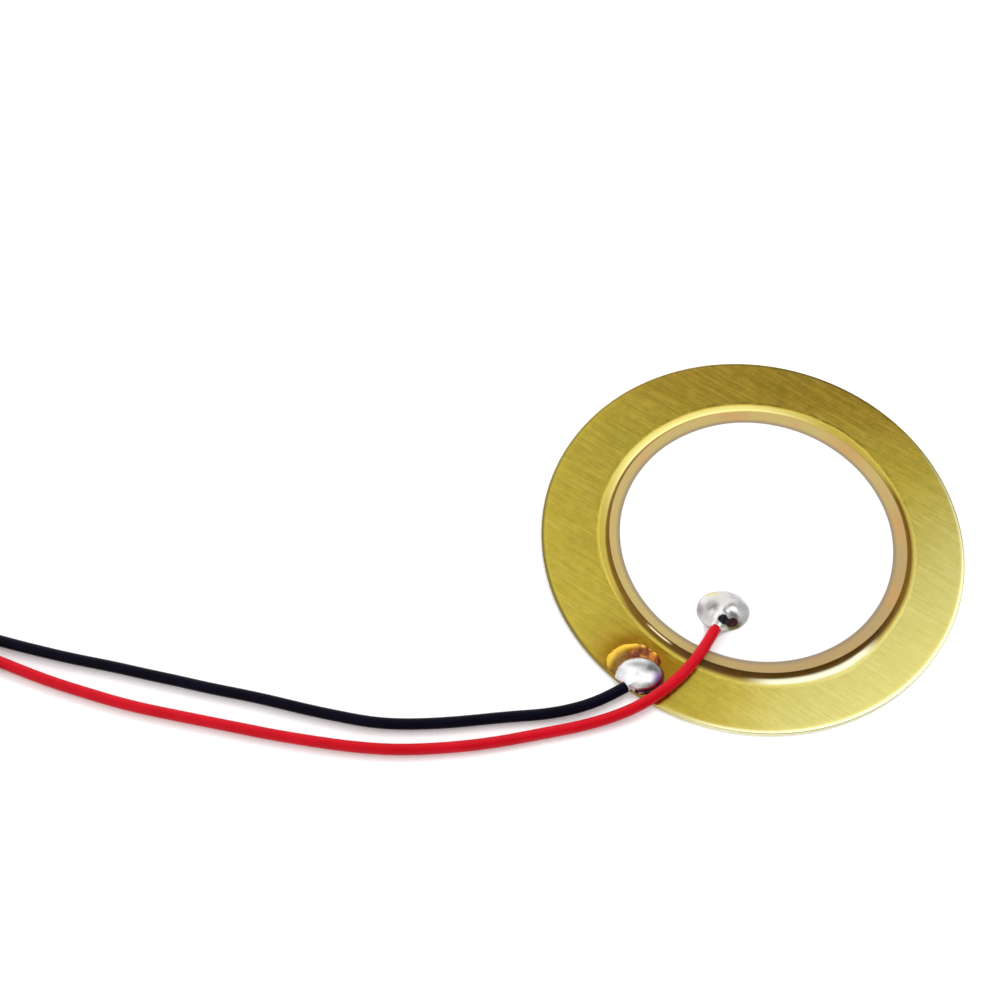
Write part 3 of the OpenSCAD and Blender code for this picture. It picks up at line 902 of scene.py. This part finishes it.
def solder_drop(name, node, line, crown, bumps, material):
    """Solder that wets its pad up to a rounded foot and covers the conductor. crown is the
    height and the roundness, and bumps are (u, v, width, rise) on it, all from the node's middle."""
    low, high = corners(node)
    centre = (low + high)[:2] / 2
    half = (high - low)[:2] / 2
    base = low[2]
    full = high[2] - base
    end = line[0][:2] - centre
    steepness, over_wire, fullest, neck_w = 1.15, 0.4, 0.93, 0.72
    crest = full * math.atanh(min((line[0][2] - base + over_wire) / full, fullest)) / steepness

    def foot(a):
        ca, sa = math.cos(a), math.sin(a)
        from_lead = math.acos(min(1, (ca * end[0] + sa * end[1]) / np.hypot(*end)))
        reach = 1 / math.hypot(ca / half[0], sa / half[1])
        reach *= 1 + 0.14 * bell(from_lead, 0.3)
        reach *= 0.98 + 0.02 * wobble(1.6 * ca, 1.6 * sa, 4.2) + 0.01 * wobble(5 * ca, 5 * sa, 1.2)
        return inside_rim(centre, a, reach, margin=0.05)

    def rise(u, v, share):
        edge = smoothstep(1.0, 0.75, share)
        dome = crown[0] * max(0.0, 1 - share ** crown[1]) ** 0.6
        for bu, bv, width, lift in bumps:
            dome += lift * bell(math.hypot(u - bu, v - bv), width) * edge
        t = (u * end[0] + v * end[1]) / (end @ end)
        off = math.hypot(u - end[0] * t, v - end[1] * t)
        neck = crest * bell(off, neck_w) * smoothstep(-0.5, 0.75, t)
        h = (max(dome, 0.0) ** 3 + neck ** 3) ** (1 / 3)
        h += 0.025 * wobble(centre[0] + u, centre[1] + v, 0.0, 0.9) * edge
        return full * math.tanh(h / full * steepness)

    sunk = 0.1
    dome = mound(centre, foot, lambda u, v, share: rise(u, v, share) + sunk, base - sunk)
    ahead = unit(line[0] - line[3])
    along = np.linspace(-0.2, 1.4, 40)
    wetted = tube(line[0] + np.outer(along, ahead), 0.25 + 0.13 * smoothstep(-0.12, 0.1, along), 24)
    verts, faces = fused(*joined(dome, wetted), cell=0.045, passes=14)
    verts[:, 2] = np.maximum(verts[:, 2], base)
    if node == "brass_solder":
        inside = np.hypot(verts[:, 0], verts[:, 1]) < plate_r - 0.03
        verts[:, 2] = np.where(inside, verts[:, 2], np.maximum(verts[:, 2], base + 0.02))
    piece = mesh_piece(name, verts, faces, material, (node,))
    piece.data.set_sharp_from_angle(angle=math.radians(65))


# Patches on this joint: painted shade on its left half and painted light on its right half, a darker band
# at the top, painted shade in the hollow and at the left edge, an olive patch below that is flux film and
# painted shade together, and flux film at the top left. Its dark spots are painted dark reflection.
on_silver = solder_look(
    "solder_on_silver", silver_joint,
    [((-1.0, 0.3, 0.9), 2.1, (1, 1.1, 2), (0.44, 0.43, 0.41), 0.9),
     ((1.6, 0.2, 0.9), 1.6, (1, 1.3, 2), (0.85, 0.85, 0.84), 0.9),
     ((0.3, 1.0, 0.8), 1.5, (1.4, 0.7, 2), (0.5, 0.475, 0.465), 0.85),
     ((-0.72, 0.1, 1.3), 0.62, (0.8, 1, 2), (0.16, 0.17, 0.14), 0.9),
     ((-1.9, 0.0, 0.8), 0.7, (0.7, 1.3, 2), (0.3, 0.24, 0.25), 0.8),
     ((0.7, -1.5, 0.8), 1.0, (1.4, 0.7, 2), (0.25, 0.22, 0.06), 0.9),
     ((-1.0, 1.4, 0.8), 0.9, (1.5, 0.5, 2), (0.5, 0.44, 0.2), 0.8)],
    [((-0.08, -1.13, 1.1), 0.48, (1, 0.85, 3)), ((0.3, -1.24, 1.1), 0.42, (1.2, 0.75, 3)),
     ((0.7, -1.14, 1.0), 0.38, (1, 0.85, 3))],
    ((0.2, 0.9, 0.8), 1.4, (1.3, 0.7, 2)))
# Patches on this joint: a grey top with a darker band across it, a purple right edge and a maroon bottom
# edge, all painted reflection, and a painted white highlight left of the middle, made dull so that it
# shows. Its dark spots are painted dark reflection.
on_brass = solder_look(
    "solder_on_brass", brass_joint,
    [((-0.3, 0.9, 1.0), 1.6, (1.6, 0.8, 2), (0.48, 0.5, 0.48), 0.9),
     ((-0.1, 0.7, 1.0), 0.9, (1.5, 0.5, 2), (0.24, 0.24, 0.25), 0.8),
     ((-0.3, -0.5, 1.0), 1.6, (1.1, 0.8, 2), (0.93, 0.92, 0.93), 0.9),
     ((1.5, -0.6, 0.7), 1.15, (0.75, 1.1, 2), (0.25, 0.13, 0.38), 0.92),
     ((0.6, -1.5, 0.6), 1.0, (1.5, 0.5, 2), (0.12, 0.02, 0.07), 0.9)],
    [((-0.3, -1.5, 0.5), 0.17, (1, 1, 2)), ((0.5, -1.5, 0.5), 0.22, (1, 1, 2))],
    ((-0.2, -0.5, 1.0), 1.35, (1.1, 0.8, 2)))
solder_drop("ceramic_joint_solder", "ceramic_solder", red_line, (0.46, 2.4),
            [(0.5, 0.1, 0.85, 0.42), (-0.75, 0.1, 0.45, -0.12), (0.4, -1.0, 0.5, -0.14)], on_silver)
solder_drop("brass_joint_solder", "brass_solder", black_line, (0.72, 3.0),
            [(0.0, -0.3, 1.0, 0.3), (0.0, 0.95, 0.6, -0.06)], on_brass)


def joint_wire(name, node, line):
    """Conductor from inside the insulation into the solder."""
    verts, faces = strands(line[0], unit(line[0] - line[3]), -TUCK, IN_JOINT)
    mesh_piece(name, verts, faces, tinned, (node,))


joint_wire("red_joint_wire", "red_core_joint_end", red_line)
joint_wire("black_joint_wire", "black_core_joint_end", black_line)


def flux_look():
    """Amber resin, dark where it meets the solder and at its right end, with painted glints on its bubbles
    there.
    """
    s = Shader("flux")
    cloud = s.noise(1.8, 3.0, 0.6)
    inner_z = plate_top + 0.2
    amber = s.mix(cloud, (0.64, 0.34, 0.01), (0.86, 0.6, 0.045))
    shadowed = s.near(over(brass_joint, 0.1, -0.1, inner_z), 2.2, 2.75, (1.05, 1.0, 1))
    amber = s.mix(s.times(shadowed, 0.92), amber, (0.16, 0.065, 0.002))
    dark = s.mix(s.ranged(s.noise(1.3, 2.0), 0.45, 0.68), (0.15, 0.02, 0.0008), (0.6, 0.2, 0.01))
    # Painted glints on the bubbles at the right end.
    bubbles_with_painted_glints = 0.0
    for u, v in ((0.8, 1.0), (1.4, 0.75), (1.75, 0.4)):
        bubble_painted_glint = s.near(over(middle("flux_residue"), u, v, plate_top + 0.4), 0.05, 0.34)
        bubbles_with_painted_glints = s.maths("MAXIMUM", bubble_painted_glint, bubbles_with_painted_glints)
    dark = s.mix(bubbles_with_painted_glints, dark, (0.9, 0.52, 0.1))
    inner = s.near(over(brass_joint, 0.15, 0.05, inner_z), 2.1, 2.5, (1.05, 1.0, 1))
    inner = s.times(inner, s.along((1, 0, 0), brass_joint[0] - 1.5, brass_joint[0] - 0.3))
    right_end = s.near(over(brass_joint, 1.1, 2.0, inner_z), 0.9, 1.5)
    s.set(Base_Color=s.mix(s.maths("MAXIMUM", inner, right_end), amber, dark),
          Roughness=s.ranged(cloud, 0.3, 0.7, 0.1, 0.24),
          IOR=1.53, Specular_IOR_Level=0.3, Subsurface_Weight=0.15,
          Subsurface_Radius=(0.6, 0.25, 0.05), Subsurface_Scale=0.5 * MM)
    s.bump(s.noise(3.5, 3.0), 0.02, 0.5)
    return s.material


def flux_crescent():
    """Resin round the joint's far side, with a raised outer rim and bubbles at its right end. It runs
    on under the solder, which leaves a crescent in sight."""
    low, high = corners("flux_residue")
    nearer = 0.45
    centre = (low + high)[:2] / 2 - np.array([0.0, nearer])
    half = (high - low)[:2] / 2
    full = high[2] - plate_top
    bubbles_with_painted_glints = ((0.8, 1.45, 0.3, 0.16), (1.4, 1.2, 0.24, 0.16), (1.75, 0.85, 0.2, 0.12))

    def foot(a):
        ca, sa = math.cos(a), math.sin(a)
        reach = 1 / math.hypot(ca / half[0], sa / (half[1] + nearer))
        reach *= 0.96 + 0.05 * wobble(2.4 * ca, 2.4 * sa, 6.3) + 0.02 * wobble(8 * ca, 8 * sa, 2.3)
        return inside_rim(centre, a, reach, margin=0.25)

    def rise(u, v, share):
        h = full * (0.45 + 0.4 * bell(share - 0.8, 0.16))
        h += 0.06 * wobble(centre[0] + u, centre[1] + v, 3.0, 1.6)
        for bu, bv, width, lift in bubbles_with_painted_glints:
            h += lift * bell(math.hypot(u - bu, v - bv), width)
        return max(0.02, min(h, full)) * min(1, max(0, 1 - share) ** 0.5 * 3)

    verts, faces = mound(centre, foot, rise, plate_top)
    mesh_piece("flux_crescent", verts, faces, flux_look(), ("flux_residue",))


flux_crescent()


# ---------------------------------------------------------------- floor and light

FLOOR_HALF = 2.0
FLOOR_Z = -2e-5


def pale_floor():
    """A large pale floor, a hair below the part, that is lit up a little in direct sight."""
    mesh = bpy.data.meshes.new("floor")
    square = ((-1, -1), (1, -1), (1, 1), (-1, 1))
    mesh.from_pydata([(x * FLOOR_HALF, y * FLOOR_HALF, FLOOR_Z) for x, y in square], [], [(0, 1, 2, 3)])
    s = Shader("floor")
    s.set(Base_Color=(0.95, 0.935, 0.94, 1), Roughness=0.9, Specular_IOR_Level=0.1,
          Emission_Color=(1, 1, 1, 1), Emission_Strength=s.times(s.seen_ray(), 0.13))
    mesh.materials.append(s.material)
    floor = bpy.data.objects.new("floor", mesh)
    bpy.context.scene.collection.objects.link(floor)
    return floor


floor = pale_floor()


def studio():
    """A pale room, brighter on the left, with soft round patches, and plain white to the camera."""
    world = bpy.data.worlds.new("studio")
    bpy.context.scene.world = world
    world.use_nodes = True
    n = Nodes(world.node_tree)
    direction = n.new("ShaderNodeTexCoord").outputs["Generated"]
    x, y, _ = n.split(direction)

    def panel(towards, inner, outer, amount):
        """The amount within inner degrees of a direction, 0 beyond outer."""
        facing = n.vector_maths("DOT_PRODUCT", direction, unit(towards))
        return n.ranged(facing, math.cos(math.radians(outer)), math.cos(math.radians(inner)), 0, amount)

    level = n.ranged(x, -0.1, 0.45, 1.1, 0.5)
    for dim in (((0.32, 0.6, 0.73), 6, 28, 0.73), ((0.3, -0.6, 0.74), 8, 38, 0.8)):
        level = n.times(level, n.maths("SUBTRACT", 1.0, panel(*dim)))
    for bright in (((0.42, 0.22, 0.88), 4, 22, 1.9), ((-0.15, 0.9, 0.41), 18, 34, 0.8),
                   ((-0.76, -0.51, 0.4), 4, 14, 1.5)):
        level = n.maths("ADD", level, panel(*bright))
    level = n.maths("MAXIMUM", level, n.ranged(y, -0.5, -0.85, 0, 0.95))
    level = n.maths("MAXIMUM", level, n.new("ShaderNodeLightPath").outputs["Is Camera Ray"])
    background = n.tree.nodes["Background"]
    background.inputs["Color"].default_value = (1, 1, 1, 1)
    n.put(background.inputs["Strength"], level)


studio()


def lamp(name, at, size, power):
    """A round lamp that faces the origin and doesn't show as a reflection."""
    data = bpy.data.lights.new(name, "AREA")
    data.shape = "DISK"
    data.size = size
    data.energy = power
    o = bpy.data.objects.new(name, data)
    o.location = at
    o.rotation_euler = (-Vector(at)).to_track_quat("-Z", "Y").to_euler()
    o.visible_glossy = False
    bpy.context.scene.collection.objects.link(o)


lamp("key", (0.28, 0.34, 0.5), 0.25, 1.9)
